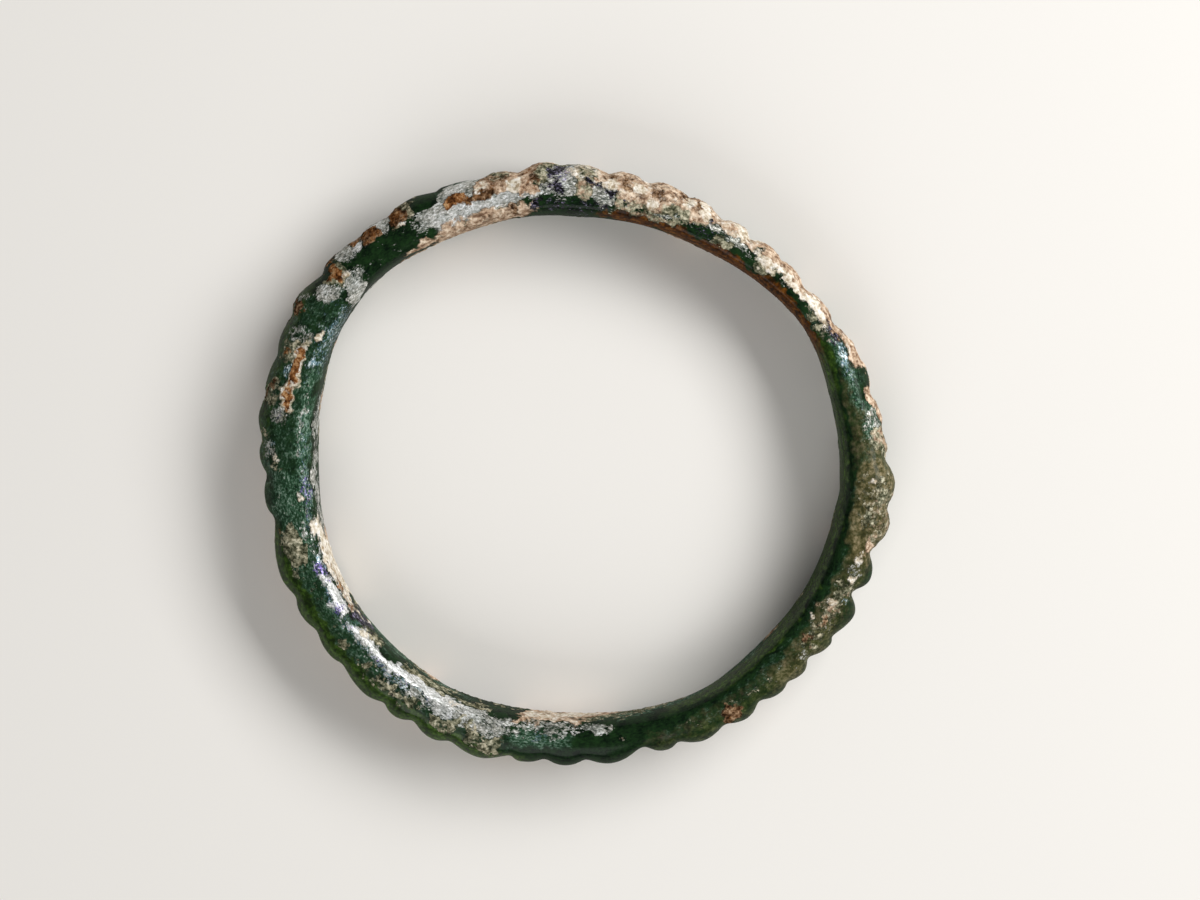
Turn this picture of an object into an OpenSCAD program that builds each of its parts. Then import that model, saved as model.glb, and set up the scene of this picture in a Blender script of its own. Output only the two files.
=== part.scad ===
// A hand-made bangle of drawn green glass, lying on its side.
// One rod of hot glass was bent round and joined into a hoop with a D-shaped wall,
// flat inside and rounded outside, and grooves were pressed across its outer face.
// The hoop is uneven: its wall is thin on one stretch, and no two ribs are alike.
// Millimetres. +Z is the axis that the wrist goes through, and the hoop rests on z = 0.

/* [Hoop] */
// Outside diameter, at its widest
outer_d = 75; // [60:1:90]
// Width of the band along the wrist, on a stretch of middling thickness
band_w = 9; // [7:0.5:12]
// How much a thick stretch is wider than a thin one, 0 is the same width all round
width_follow = 0.25; // [0:0.05:0.5]

/* [Wall section] */
// Where the wall is widest, as a share of its thickness from the inside
waist = 0.35; // [0.2:0.05:0.5]
// Squareness of the inner face, where 2 is round and 6 is nearly flat
inner_square = 3; // [2:0.5:6]
// Squareness of the outer face, where 2 is round
outer_square = 2.3; // [2:0.1:3]

/* [Pressed grooves] */
// Depth of the grooves, where 1 is as measured and 0 is a plain hoop
groove_depth = 1; // [0:0.1:1.2]
// How fast a groove fades down the sides of the wall
groove_fade = 2; // [1:0.5:4]

/* [Hidden] */

// The tables hold the sizes of a bangle of this outside diameter
table_d = 75;
size = outer_d / table_d;

// One row for each rib, anticlockwise from +X as seen from above: where its crest is, in
// degrees, and the radius there, then the same for the groove that follows it.
CREST_DEG = 0;
CREST_R = 1;
GROOVE_DEG = 2;
GROOVE_R = 3;
ribs = [
    [4.5, 36.8, 6.5, 36.4],
    [9.5, 36.6, 14, 35.7],
    [18.5, 36.2, 21, 35.8],
    [24, 35.7, 29, 34.6],
    [33, 34.9, 38, 34.0],
    [42.5, 34.6, 45, 34.2],
    [48, 34.5, 52.5, 33.5],
    [55, 34.3, 59.5, 33.6],
    [64.5, 34.5, 67, 34.2],
    [72, 34.8, 75.5, 34.2],
    [80, 34.9, 83.5, 34.4],
    [89, 35.4, 92.5, 35.3],
    [96, 35.8, 101, 35.0],
    [105, 35.7, 108, 35.5],
    [115, 36.3, 117, 36.2],
    [122, 37.0, 127, 36.6],
    [131, 37.1, 133.5, 37.0],
    [139.5, 37.7, 143, 37.3],
    [149, 38.3, 152, 37.7],
    [156, 38.0, 159.5, 37.5],
    [164, 37.8, 167, 37.4],
    [171, 37.9, 175, 37.1],
    [178, 37.4, 181.5, 36.5],
    [186, 37.0, 190, 36.1],
    [200.5, 37.4, 205, 36.7],
    [208.5, 37.2, 212.5, 36.5],
    [217, 37.0, 220.5, 36.4],
    [227, 37.1, 231, 36.3],
    [234, 36.9, 237.5, 36.0],
    [242, 36.9, 245.5, 36.1],
    [251.5, 36.8, 257, 35.4],
    [260, 36.0, 264, 35.2],
    [268, 35.9, 272, 35.1],
    [277, 35.9, 283.5, 34.2],
    [287.5, 35.7, 290.5, 35.1],
    [295, 36.3, 300, 35.6],
    [304, 36.5, 308, 35.5],
    [312, 36.5, 314.5, 36.1],
    [317.5, 36.7, 320.5, 35.8],
    [324.5, 37.0, 326.5, 36.6],
    [331.5, 37.6, 335.5, 35.8],
    [339, 37.5, 344, 36.2],
    [349, 37.8, 352.5, 37.1],
    [357, 37.8, 361.5, 36.5],
];

// Inside radius of the hoop, one value every 15 degrees from +X
inside_step = 15;
inside_r = [
    31.3, 31.1, 31.4, 30.4, 29.5, 29.3, 29.3, 30.0, 30.6, 31.8, 31.9, 31.1,
    30.5, 30.8, 31.0, 30.8, 30.8, 30.2, 30.0, 30.5, 31.0, 30.7, 31.0, 31.2,
];

// A shallow nick across the inner face: where it is, and how far it reaches to each side, in
// degrees, and how deep it is
nick_deg = 354;
nick_reach = 4;
nick_depth = 0.2;

// Stations between a crest and a groove, and points round the wall's section
half_steps = 3;
section_steps = 20;

// A smooth closed curve through values that are evenly spaced round the hoop
function value_at(values, i) = values[(i + 2 * len(values)) % len(values)];
function smooth_at(values, step, angle) =
    let (
        place = angle / step,
        i = floor(place),
        t = place - i,
        before = value_at(values, i - 1),
        here = value_at(values, i),
        next = value_at(values, i + 1),
        after = value_at(values, i + 2)
    )
    here + t * (next - before) / 2
        + t * t * (2 * before - 5 * here + 4 * next - after) / 2
        + t * t * t * (3 * (here - next) + after - before) / 2;

// Each station is [angle, radius of the crest line, depth of the groove there].
// Between a crest and a groove the ribs are rounded on top and meet in a narrow valley.
function station(a0, r0, a1, r1, share, valley) =
    let (
        lift = cos(90 * share),
        line = r0 + (r1 - r0) * share
    )
    [a0 + (a1 - a0) * share, line, valley * (1 - lift)];
function rib_stations(row, next) =
    let (
        next_deg = next[CREST_DEG] + (next[CREST_DEG] < row[CREST_DEG] ? 360 : 0),
        middle = (row[CREST_R] + next[CREST_R]) / 2,
        valley = middle - row[GROOVE_R]
    )
    [
        for (k = [0 : half_steps - 1])
            station(row[CREST_DEG], row[CREST_R], row[GROOVE_DEG], middle, k / half_steps, valley),
        for (k = [0 : half_steps - 1])
            station(next_deg, next[CREST_R], row[GROOVE_DEG], middle, 1 - k / half_steps, valley)
    ];
stations = [
    for (i = [0 : len(ribs) - 1])
        each rib_stations(ribs[i], ribs[(i + 1) % len(ribs)])
];

// The thickness of the wall under the crest line, and its mean all round
function nick_at(angle) = nick_depth * max(0, 1 - abs(angle - nick_deg) / nick_reach);
function wall_at(s) = s[1] - smooth_at(inside_r, inside_step, s[0]) - nick_at(s[0]);
walls = [for (s = stations) wall_at(s)];
mean_wall = (walls * [for (w = walls) 1]) / len(walls);

// One point of the section: two half ovals back to back, a flat one inside the waist and a
// tall one outside it, which the groove cuts down.
function rounded(x, square) = sign(x) * pow(abs(x), 2 / square);
function section_point(s, turn) =
    let (
        wall = wall_at(s),
        width = band_w * (1 + width_follow * (wall / mean_wall - 1)),
        outside = sin(turn) > 0,
        square = outside ? outer_square : inner_square,
        depth = (outside ? 1 - waist : waist) * wall,
        cut = outside ? groove_depth * s[2] * pow(sin(turn), groove_fade) : 0,
        r = s[1] - wall * (1 - waist) + depth * rounded(sin(turn), square) - cut,
        z = width / 2 * (1 + rounded(cos(turn), square))
    )
    [size * r * cos(s[0]), size * r * sin(s[0]), z];

hoop_points = [
    for (s = stations)
        for (j = [0 : section_steps - 1])
            section_point(s, 360 * j / section_steps)
];

// Each four-sided patch between two stations is two triangles
function patch(i, j) =
    let (
        i2 = (i + 1) % len(stations),
        j2 = (j + 1) % section_steps,
        a = i * section_steps + j,
        b = i2 * section_steps + j,
        c = i2 * section_steps + j2,
        d = i * section_steps + j2
    )
    [[a, c, b], [a, d, c]];
hoop_faces = [
    for (i = [0 : len(stations) - 1])
        for (j = [0 : section_steps - 1])
            each patch(i, j)
];

// The middle of the hoop's outline goes to the origin
xs = [for (p = hoop_points) p[0]];
ys = [for (p = hoop_points) p[1]];
middle = [(min(xs) + max(xs)) / 2, (min(ys) + max(ys)) / 2];

module bangle() {
    color("#2c6b45")
        translate([-middle[0], -middle[1], 0])
            polyhedron(points = hoop_points, faces = hoop_faces, convexity = 6);
}

bangle();
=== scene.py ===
import math

import bpy
import numpy as np
from mathutils import Matrix, Vector, noise


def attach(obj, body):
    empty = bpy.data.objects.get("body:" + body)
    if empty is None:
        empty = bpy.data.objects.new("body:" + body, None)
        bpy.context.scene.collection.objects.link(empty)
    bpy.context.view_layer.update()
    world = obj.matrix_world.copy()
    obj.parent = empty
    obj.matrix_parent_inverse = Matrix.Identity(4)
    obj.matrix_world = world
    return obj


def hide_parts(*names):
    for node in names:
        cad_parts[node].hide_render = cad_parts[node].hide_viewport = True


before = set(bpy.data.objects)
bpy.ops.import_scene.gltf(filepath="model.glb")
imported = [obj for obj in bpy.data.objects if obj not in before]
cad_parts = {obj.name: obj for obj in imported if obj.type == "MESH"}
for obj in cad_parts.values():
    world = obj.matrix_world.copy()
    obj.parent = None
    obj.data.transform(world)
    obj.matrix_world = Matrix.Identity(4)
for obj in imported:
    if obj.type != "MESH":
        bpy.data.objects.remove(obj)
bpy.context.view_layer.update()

# The hoop
# One rod of hot soda-lime glass was bent round and joined, and a blade was pressed across
# its outer face while it was soft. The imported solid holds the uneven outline, the D-shaped
# wall and the 44 ribs, so this piece is a copy of it, rounded as fire-polished glass is.
MM = 0.001
WELD = 0.002 * MM
QUADS_LIMIT = math.pi  # the two triangles of a patch join at any angle
ROUNDINGS = 2

scene = bpy.context.scene
hoop = bpy.data.objects.new("glass_hoop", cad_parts["bangle"].data.copy())
scene.collection.objects.link(hoop)
bpy.ops.object.select_all(action="DESELECT")
hoop.select_set(True)
bpy.context.view_layer.objects.active = hoop
bpy.ops.object.mode_set(mode="EDIT")
bpy.ops.mesh.select_all(action="SELECT")
bpy.ops.mesh.remove_doubles(threshold=WELD)
bpy.ops.mesh.tris_convert_to_quads(face_threshold=QUADS_LIMIT, shape_threshold=QUADS_LIMIT)
bpy.ops.mesh.normals_make_consistent(inside=False)
bpy.ops.object.mode_set(mode="OBJECT")


def at_points(mesh, what):
    """Each point's place ("co") or outward direction ("normal"), one row a point."""
    flat = np.empty(len(mesh.vertices) * 3)
    mesh.vertices.foreach_get(what, flat)
    return flat.reshape(-1, 3)


# Rounding pulls each corner in a little. The cage is first swelled by as much, so that the
# rounded glass keeps the ribs' full height.
rounding = hoop.modifiers.new("rounding", "SUBSURF")
rounding.levels = rounding.render_levels = 1
cage = at_points(hoop.data, "co")
rounded = hoop.evaluated_get(bpy.context.evaluated_depsgraph_get()).to_mesh()
pulled_in = cage - at_points(rounded, "co")[: len(cage)]
hoop.data.vertices.foreach_set("co", (cage + pulled_in).ravel())
rounding.levels = rounding.render_levels = ROUNDINGS
bpy.ops.object.modifier_apply(modifier=rounding.name)
hoop.data.shade_smooth()

# The weathering chart
# Buried glass loses its alkali from the skin inwards, and the skin turns into layers that
# flake. From the glass outwards the chart has leaf green and amber, a painted glow that stands
# in for light through thin glass at the rims and the inner wall, then a grey-green haze, an
# olive bloom, an icy blue film, dull silver and bright pearl, which in places are painted
# sheen and highlight, grey scale, pink-brown and cream lime crusts, the cream one in places
# painted glints, with brown earth, in places painted shade, and iron rust in them, and violet
# and ink-dark films.
FINISHES = [
    "painted_green_glow", "painted_amber_glow", "haze", "bloom", "ice_and_sheen", "silver_and_sheen", "pearl_and_highlight", "scale", "tan", "lime_and_glints", "umber_and_shade",
    "rust", "violet", "ink",
]
# Each row is one patch of the front face, as seen from a reading distance: its finish, where it
# runs from and to in degrees round the hoop and in millimetres from the hoop's middle, and how
# much of the glass it covers. A patch pushes aside what earlier rows laid there of its own
# finish and of those above it, and keeps what lies below. A bare patch pushes all aside.
CHART = [
    # Right, from +X up to the thin stretch
    # painted green glow of light through the thin inner wall and rim
    ("painted_green_glow", -70, 16, 29.6, 32.4, 0.8),
    ("painted_green_glow", 16, 31, 31.0, 32.6, 0.9),
    ("painted_green_glow", 20, 27, 32.0, 33.4, 0.5),
    ("haze", 8, 26, 33.3, 34.8, 0.5),
    ("haze", -1, 12, 34.0, 35.3, 0.6),
    ("haze", -1, 6, 35.2, 37.0, 0.45),
    ("bloom", -1, 20, 32.6, 34.0, 0.3),
    ("bloom", -1, 12, 33.8, 37.0, 0.55),
    # a silver film laid as a painted sheen on the outer wall
    ("silver_and_sheen", 1, 18, 34.0, 35.2, 0.3),
    ("scale", -1, 8, 34.2, 35.6, 0.3),
    ("haze", 4.5, 12.5, 34.7, 36.3, 0.9),
    ("lime_and_glints", 4.5, 12, 34.7, 36.3, 0.5),
    ("silver_and_sheen", 6, 12.5, 34.8, 36.1, 0.55),
    ("scale", 2.4, 6.8, 35.3, 37.2, 0.8),
    ("tan", 3, 6.6, 35.5, 37.2, 0.5),
    ("tan", 8, 11, 36.1, 37.0, 0.8),
    ("tan", 11, 15.6, 35.3, 36.6, 1.1),
    ("haze", 11.5, 20, 34.0, 35.1, 0.95),
    ("bare", 12, 15.5, 35.0, 35.3, 0.9),
    ("bare", 15, 19.6, 35.05, 36.0, 0.95),
    ("haze", 15, 20, 35.0, 36.0, 0.3),
    ("tan", 19.4, 27, 34.9, 36.4, 1.1),
    ("lime_and_glints", 21.5, 25.5, 34.8, 35.4, 0.7),
    ("haze", 20, 26, 33.0, 33.9, 0.8),
    # icy films, partly a painted sheen
    ("ice_and_sheen", 19, 26, 33.6, 34.9, 0.42),
    ("ice_and_sheen", 9, 20, 33.5, 34.9, 0.2),
    # The thin stretch, streaked black and white where it begins, its white and cream partly a painted
    # highlight
    ("haze", 26, 48, 32.0, 33.4, 0.4),
    ("scale", 26.5, 35.5, 32.2, 33.4, 0.6),
    ("tan", 25.6, 52, 33.4, 36.0, 1.2),
    ("lime_and_glints", 25.4, 30.4, 33.3, 33.55, 0.9),
    ("silver_and_sheen", 25.2, 30.4, 33.75, 33.95, 1.0),
    ("ink", 25, 29.5, 33.55, 33.7, 1.0),
    ("ink", 25.2, 27.6, 34.15, 34.45, 1.1),
    ("ink", 27, 30, 34.0, 34.25, 1.1),
    ("lime_and_glints", 29.6, 36, 33.5, 34.2, 1.1),
    ("lime_and_glints", 31.8, 34.6, 33.8, 34.6, 1.1),
    ("lime_and_glints", 34, 42, 33.1, 33.7, 1.1),
    ("lime_and_glints", 38, 50, 32.85, 33.5, 1.1),
    ("umber_and_shade", 42.8, 44.4, 33.6, 34.2, 0.4),
    ("bare", 34, 38.8, 32.3, 33.1, 1.0),
    ("bare", 38.5, 45, 31.7, 32.8, 0.8),
    ("silver_and_sheen", 35, 56, 31.6, 32.8, 0.25),
    ("lime_and_glints", 39.5, 40.7, 32.4, 33.0, 0.7),
    ("lime_and_glints", 41.6, 42.8, 32.3, 32.9, 0.7),
    ("scale", 43.6, 48.8, 31.3, 33.0, 0.9),
    ("lime_and_glints", 43.8, 48.6, 31.9, 33.0, 0.7),
    ("bare", 48.8, 55.5, 30.8, 32.6, 0.95),
    ("silver_and_sheen", 49, 56, 31.0, 32.4, 0.3),
    # painted amber glow of light through the thin inner wall
    ("painted_amber_glow", 22, 33, 31.0, 32.1, 0.5),
    ("painted_amber_glow", 26, 45, 30.4, 32.1, 1.05),
    ("painted_amber_glow", 40, 66, 29.4, 30.9, 1.05),
    ("painted_amber_glow", 60, 85, 29.0, 30.2, 1.05),
    # Upper right, rough and pink, with brown earth and painted shade on the side of each rib turned
    # from the light, and painted glints on its lit side
    ("tan", 50, 58, 32.5, 35.0, 1.2),
    ("tan", 56, 62.5, 32.7, 34.6, 1.1),
    ("silver_and_sheen", 51.5, 56.5, 31.9, 32.7, 0.7),
    ("silver_and_sheen", 57, 64.4, 32.2, 32.9, 0.85),
    ("scale", 53.2, 59.8, 30.5, 31.9, 0.75),
    ("bare", 58.8, 64.6, 30.4, 32.4, 1.0),
    ("silver_and_sheen", 58.8, 64.6, 30.8, 32.4, 0.22),
    ("ink", 57, 66, 30.6, 32.6, 0.35),
    ("scale", 60.5, 92, 31.0, 37.0, 1.2),
    ("tan", 60.5, 92, 31.0, 37.0, 0.82),
    ("lime_and_glints", 61, 92, 32, 36.0, 0.3),
    ("scale", 64.6, 71, 30.6, 32.6, 0.7),
    ("scale", 66, 84, 29.9, 31.7, 0.85),
    ("tan", 67, 84, 30.0, 31.7, 0.5),
    ("lime_and_glints", 50, 60, 32.6, 34.2, 0.45),
    ("lime_and_glints", 52.9, 55.4, 32.5, 33.6, 1.1),
    ("ink", 59.7, 61.1, 32.75, 33.2, 1.0),
    ("lime_and_glints", 61, 63.8, 32.7, 34.0, 0.85),
    ("umber_and_shade", 63.6, 65.1, 32.9, 34.3, 0.7),
    ("lime_and_glints", 65.4, 67.4, 32.8, 33.9, 0.75),
    ("umber_and_shade", 67.2, 69.4, 33.8, 34.5, 0.95),
    ("umber_and_shade", 71.2, 74.8, 32.6, 34.4, 0.6),
    ("umber_and_shade", 69.4, 71.4, 32.6, 33.6, 0.4),
    ("ink", 62, 91, 31.2, 34.6, 0.22),
    ("silver_and_sheen", 66, 72.4, 30.8, 31.6, 0.75),
    ("lime_and_glints", 71.8, 74.6, 31.4, 32.4, 0.9),
    ("lime_and_glints", 75.2, 78.2, 32.8, 33.9, 1.0),
    ("umber_and_shade", 78.2, 80.6, 32.4, 34.6, 0.6),
    ("umber_and_shade", 81.6, 84, 33.3, 34.4, 0.65),
    ("umber_and_shade", 80, 82.4, 32.8, 33.6, 0.4),
    ("silver_and_sheen", 72, 83, 30.4, 31.4, 0.35),
    ("ink", 77.6, 79.6, 31.1, 31.5, 0.7),
    ("bare", 81, 86.6, 30.0, 32.4, 0.9),
    ("silver_and_sheen", 81, 86.6, 30.2, 33.0, 0.8),
    ("ink", 81.2, 83.4, 31.6, 32.5, 0.9),
    ("ink", 82.2, 85.4, 30.0, 30.6, 0.6),
    ("lime_and_glints", 81.4, 83.4, 32.4, 33.4, 0.9),
    ("scale", 86, 92, 31.0, 36.0, 1.1),
    ("tan", 85.8, 92, 31.0, 34.0, 0.5),
    ("lime_and_glints", 85.6, 90, 32.6, 35.8, 0.42),
    ("umber_and_shade", 86, 89.4, 32.5, 35.8, 0.25),
    ("ink", 87.2, 89.4, 32.5, 34.8, 0.2),
    ("ink", 83.4, 86.4, 32.3, 32.9, 0.95),
    ("ink", 86.2, 88.2, 32.9, 33.6, 1.0),
    ("bare", 84.6, 92, 28.9, 30.7, 1.1),
    ("ink", 83.6, 97, 29.0, 31.2, 0.4),
    # Top, the dark window and the flaked plateau
    ("silver_and_sheen", 90, 96.5, 31.0, 36.0, 1.1),
    ("lime_and_glints", 89.5, 92, 33.4, 35.6, 0.6),
    ("ink", 92.4, 97.4, 31.6, 33.5, 0.85),
    ("violet", 90.6, 94.2, 33.0, 34.9, 0.35),
    ("ink", 92.6, 95.9, 33.85, 35.1, 1.1),
    ("bare", 90, 98, 29.2, 31.9, 0.9),
    ("silver_and_sheen", 90, 97, 30.8, 31.9, 0.3),
    ("ink", 90, 97.4, 29.4, 31.4, 0.4),
    ("scale", 92.5, 99, 35.0, 36.2, 1.0),
    ("scale", 95.6, 98.2, 33.3, 35.4, 0.9),
    # the silver and pearl of the plateau are partly a painted highlight
    ("silver_and_sheen", 97.4, 122.6, 31.5, 33.3, 1.5),
    ("silver_and_sheen", 115.6, 122.2, 32.6, 34.8, 1.3),
    ("pearl_and_highlight", 97.6, 123, 31.5, 33.2, 0.6),
    ("pearl_and_highlight", 116, 122, 32.6, 34.6, 0.4),
    ("tan", 97.4, 111, 33.0, 36.4, 1.15),
    ("scale", 102, 108, 34.4, 36.2, 0.7),
    ("tan", 97.8, 101.4, 31.9, 33.8, 0.9),
    ("rust", 97, 102, 32.4, 35.2, 0.45),
    ("umber_and_shade", 96.6, 98.6, 33.4, 35.4, 0.6),
    ("lime_and_glints", 100.6, 103.6, 32.6, 34.4, 1.0),
    ("rust", 102.6, 110, 33.4, 35.4, 0.4),
    ("umber_and_shade", 102.6, 106.4, 33.8, 35.2, 0.45),
    ("umber_and_shade", 106.4, 110.2, 34.2, 35.7, 0.5),
    ("lime_and_glints", 108.4, 111.6, 33.85, 34.6, 1.05),
    ("haze", 110, 118, 34.4, 36.8, 0.9),
    ("silver_and_sheen", 110, 118, 34.0, 35.6, 1.4),
    ("silver_and_sheen", 110.6, 117, 35.3, 36.8, 0.45),
    ("pearl_and_highlight", 111, 116, 34.4, 35.7, 0.5),
    ("umber_and_shade", 106.4, 113.2, 32.8, 34.1, 0.9),
    ("rust", 106, 113, 32.8, 34.1, 0.35),
    ("rust", 112.4, 116.8, 33.2, 34.35, 0.95),
    ("tan", 98.5, 124, 29.5, 31.6, 1.1),
    ("tan", 112, 121, 31.2, 32.0, 0.7),
    ("scale", 98.5, 124, 29.5, 31.8, 0.3),
    ("ink", 97.2, 98.9, 30.3, 31.7, 0.8),
    ("umber_and_shade", 102.4, 104.4, 30.0, 31.4, 0.75),
    ("umber_and_shade", 107.8, 110.2, 30.2, 31.0, 0.5),
    ("umber_and_shade", 115, 117.6, 31.8, 32.3, 0.5),
    ("bare", 117.4, 122.4, 34.8, 37.4, 1.1),
    ("bare", 114.4, 117.4, 35.7, 36.6, 1.0),
    ("bare", 120.6, 123.2, 31.2, 32.4, 0.9),
    ("tan", 122.5, 128, 30.6, 31.8, 0.9),
    # Upper left, bare windows between rusty hollows
    # painted green glow at the outer rim
    ("painted_green_glow", 144, 190, 36.3, 38.8, 0.6),
    ("haze", 143, 193, 31.8, 37.6, 0.42),
    ("bare", 123, 139, 31.4, 35.3, 1.1),
    ("silver_and_sheen", 122, 140, 32.0, 35.2, 0.17),
    ("silver_and_sheen", 121.8, 124.4, 32.4, 34.8, 0.3),
    ("scale", 122.2, 124.8, 34.6, 37.2, 0.95),
    ("lime_and_glints", 123.6, 128, 34.5, 34.9, 0.8),
    ("umber_and_shade", 123.9, 128.3, 34.8, 36.8, 1.1),
    ("rust", 124.4, 128.3, 35.0, 36.6, 0.6),
    ("silver_and_sheen", 128, 130.9, 35.1, 37.6, 1.1),
    ("pearl_and_highlight", 128.6, 130.6, 35.6, 36.8, 0.6),
    ("umber_and_shade", 130.4, 133.2, 35.2, 36.7, 1.1),
    ("rust", 130.6, 133.2, 35.2, 36.7, 0.6),
    ("tan", 131.5, 136, 36.5, 37.6, 0.7),
    ("rust", 133, 136.4, 36.3, 37.2, 0.75),
    ("pearl_and_highlight", 132.8, 137.4, 35.6, 36.5, 0.95),
    ("silver_and_sheen", 135.6, 139.4, 36.1, 38.2, 0.95),
    ("scale", 134.5, 139, 37.1, 38.2, 0.5),
    ("umber_and_shade", 139.2, 141.6, 36.9, 38.4, 0.9),
    ("bare", 141.4, 143, 36.9, 38.4, 1.0),
    ("silver_and_sheen", 137.2, 143.6, 33.2, 35.0, 0.65),
    ("silver_and_sheen", 138.8, 144.6, 31.4, 33.4, 0.95),
    ("scale", 139, 147, 34.4, 36.9, 0.8),
    ("lime_and_glints", 139, 142, 34.4, 35.4, 0.6),
    ("pearl_and_highlight", 139.6, 143, 32.0, 33.5, 0.4),
    ("rust", 140.3, 143.0, 34.9, 37.0, 0.95),
    ("silver_and_sheen", 143.4, 147.4, 34.2, 36.7, 0.75),
    # an icy film along the inner side, partly a painted sheen streak
    ("ice_and_sheen", 144, 168, 31.6, 33.3, 0.38),
    ("ice_and_sheen", 142.8, 158, 33.4, 34.6, 0.2),
    ("silver_and_sheen", 144, 156, 33.4, 37.4, 0.14),
    ("silver_and_sheen", 146.6, 149.4, 36.8, 38.3, 0.45),
    ("umber_and_shade", 148.8, 152.6, 37.1, 38.2, 0.95),
    ("lime_and_glints", 151.8, 154.2, 33.3, 33.9, 0.95),
    ("rust", 150, 151, 36.4, 37.0, 0.5),
    # Left, the cream patch with its rusty core
    ("silver_and_sheen", 153.3, 156.2, 33.9, 36.9, 0.4),
    ("scale", 156, 160.4, 35.4, 37.1, 0.65),
    ("rust", 157.6, 159.6, 35.8, 36.8, 0.45),
    ("scale", 155.6, 171, 33.9, 35.6, 1.1),
    ("lime_and_glints", 156, 171, 33.9, 35.5, 0.75),
    ("rust", 157.2, 164.2, 34.2, 35.2, 1.4),
    ("rust", 165.4, 169.8, 34.2, 35.1, 1.1),
    ("ice_and_sheen", 160.3, 163.4, 35.4, 36.3, 0.5),
    ("scale", 164.2, 169.4, 35.8, 37.7, 0.6),
    ("umber_and_shade", 164.8, 167, 36.2, 37.3, 0.7),
    ("silver_and_sheen", 169, 172.4, 34.2, 37.0, 0.5),
    ("violet", 169.6, 171.4, 34.8, 36.2, 0.2),
    ("haze", 159, 196, 31.4, 33.1, 0.75),
    # an icy film along the inner edge, partly a painted sheen streak
    ("ice_and_sheen", 168, 202, 31.5, 32.8, 0.3),
    ("silver_and_sheen", 156, 181, 32.0, 33.4, 0.18),
    ("umber_and_shade", 174, 176.4, 36.4, 37.3, 0.4),
    ("rust", 179.6, 182.4, 34.9, 35.7, 0.6),
    ("silver_and_sheen", 164, 181, 32.0, 32.8, 0.25),
    ("lime_and_glints", 168.4, 170.2, 32.6, 33.1, 0.8),
    ("ice_and_sheen", 158.3, 159.4, 32.4, 33.3, 0.6),
    ("scale", 173.8, 176.6, 36.0, 37.4, 0.5),
    ("silver_and_sheen", 175.4, 179.4, 35.2, 36.9, 0.6),
    ("ice_and_sheen", 175.4, 179, 35.2, 36.6, 0.3),
    ("lime_and_glints", 178, 180.4, 34.9, 35.8, 0.6),
    ("silver_and_sheen", 165, 176, 30.6, 31.2, 0.8),
    ("scale", 179.6, 182, 34.4, 36.2, 0.45),
    ("haze", 181, 200, 32.4, 36.2, 0.5),
    ("silver_and_sheen", 181, 196, 32.2, 35.8, 0.2),
    ("lime_and_glints", 186.1, 188.3, 32.5, 33.4, 0.75),
    ("silver_and_sheen", 180, 195, 31.1, 32.5, 0.2),
    ("violet", 172, 202, 31.4, 32.6, 0.16),
    ("violet", 182.5, 188.5, 31.3, 32.3, 0.24),
    ("silver_and_sheen", 178, 194, 30.3, 31.1, 0.75),
    # Lower left, the bright pearly band, partly a painted highlight, and the cream strip on the inner
    # wall
    # painted green glow at the outer rim
    ("painted_green_glow", 190, 262, 35.3, 38.5, 0.85),
    ("haze", 193, 228, 32.4, 35.7, 0.5),
    ("haze", 228, 262, 32.4, 35.4, 0.35),
    ("scale", 193, 226, 33.4, 35.4, 0.26),
    ("scale", 192.6, 200.4, 33.4, 36.0, 0.8),
    ("umber_and_shade", 192.8, 194.8, 35.8, 36.4, 0.6),
    ("scale", 200, 203.4, 34.9, 36.0, 0.4),
    ("silver_and_sheen", 193, 201, 31.9, 33.4, 0.3),
    ("lime_and_glints", 192.5, 214, 30.4, 31.9, 1.15),
    ("tan", 192, 200, 30.4, 31.0, 0.3),
    ("rust", 200.8, 202.6, 31.1, 31.7, 0.35),
    ("tan", 203.2, 213, 31.0, 31.85, 0.6),
    ("rust", 203.2, 213, 31.0, 31.85, 0.5),
    ("pearl_and_highlight", 199, 201.4, 31.9, 32.4, 0.9),
    ("ice_and_sheen", 200.2, 201.8, 32.0, 32.9, 0.7),
    ("violet", 201.2, 204.1, 32.2, 33.4, 0.8),
    ("pearl_and_highlight", 204.8, 214.4, 32.0, 33.4, 1.1),
    ("pearl_and_highlight", 208.8, 212, 33.2, 34.1, 0.8),
    ("ice_and_sheen", 203, 222, 32.6, 34.0, 0.35),
    ("pearl_and_highlight", 200, 224, 31.8, 33.5, 0.35),
    ("violet", 205, 206.4, 32.1, 33.0, 0.45),
    ("violet", 210.8, 212.2, 32.2, 33.8, 0.5),
    ("violet", 207, 214.5, 33.0, 33.7, 0.4),
    ("pearl_and_highlight", 215.8, 222.6, 31.95, 33.35, 1.0),
    ("lime_and_glints", 217.4, 221, 31.9, 32.8, 0.7),
    ("violet", 215.6, 217.6, 32.4, 33.3, 0.35),
    ("haze", 214, 217.2, 31.95, 32.9, 1.0),
    ("ice_and_sheen", 214, 217.4, 31.95, 32.95, 0.35),
    ("pearl_and_highlight", 221, 228, 32.3, 33.3, 0.65),
    ("scale", 216.6, 223.4, 31.0, 32.2, 0.75),
    ("ink", 213, 216.8, 30.8, 31.95, 1.1),
    ("ink", 216.8, 220, 31.4, 31.85, 0.9),
    ("haze", 216, 228, 30.5, 31.6, 0.4),
    ("scale", 217.2, 219.2, 34.6, 35.7, 0.85),
    ("scale", 222.5, 232.4, 33.8, 35.8, 0.4),
    ("pearl_and_highlight", 224.6, 229.4, 32.2, 33.4, 0.8),
    ("violet", 224.6, 227.4, 33.1, 34.0, 0.5),
    ("pearl_and_highlight", 227.8, 247, 31.8, 33.05, 1.1),
    ("ice_and_sheen", 222, 242, 32.8, 34.0, 0.4),
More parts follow.
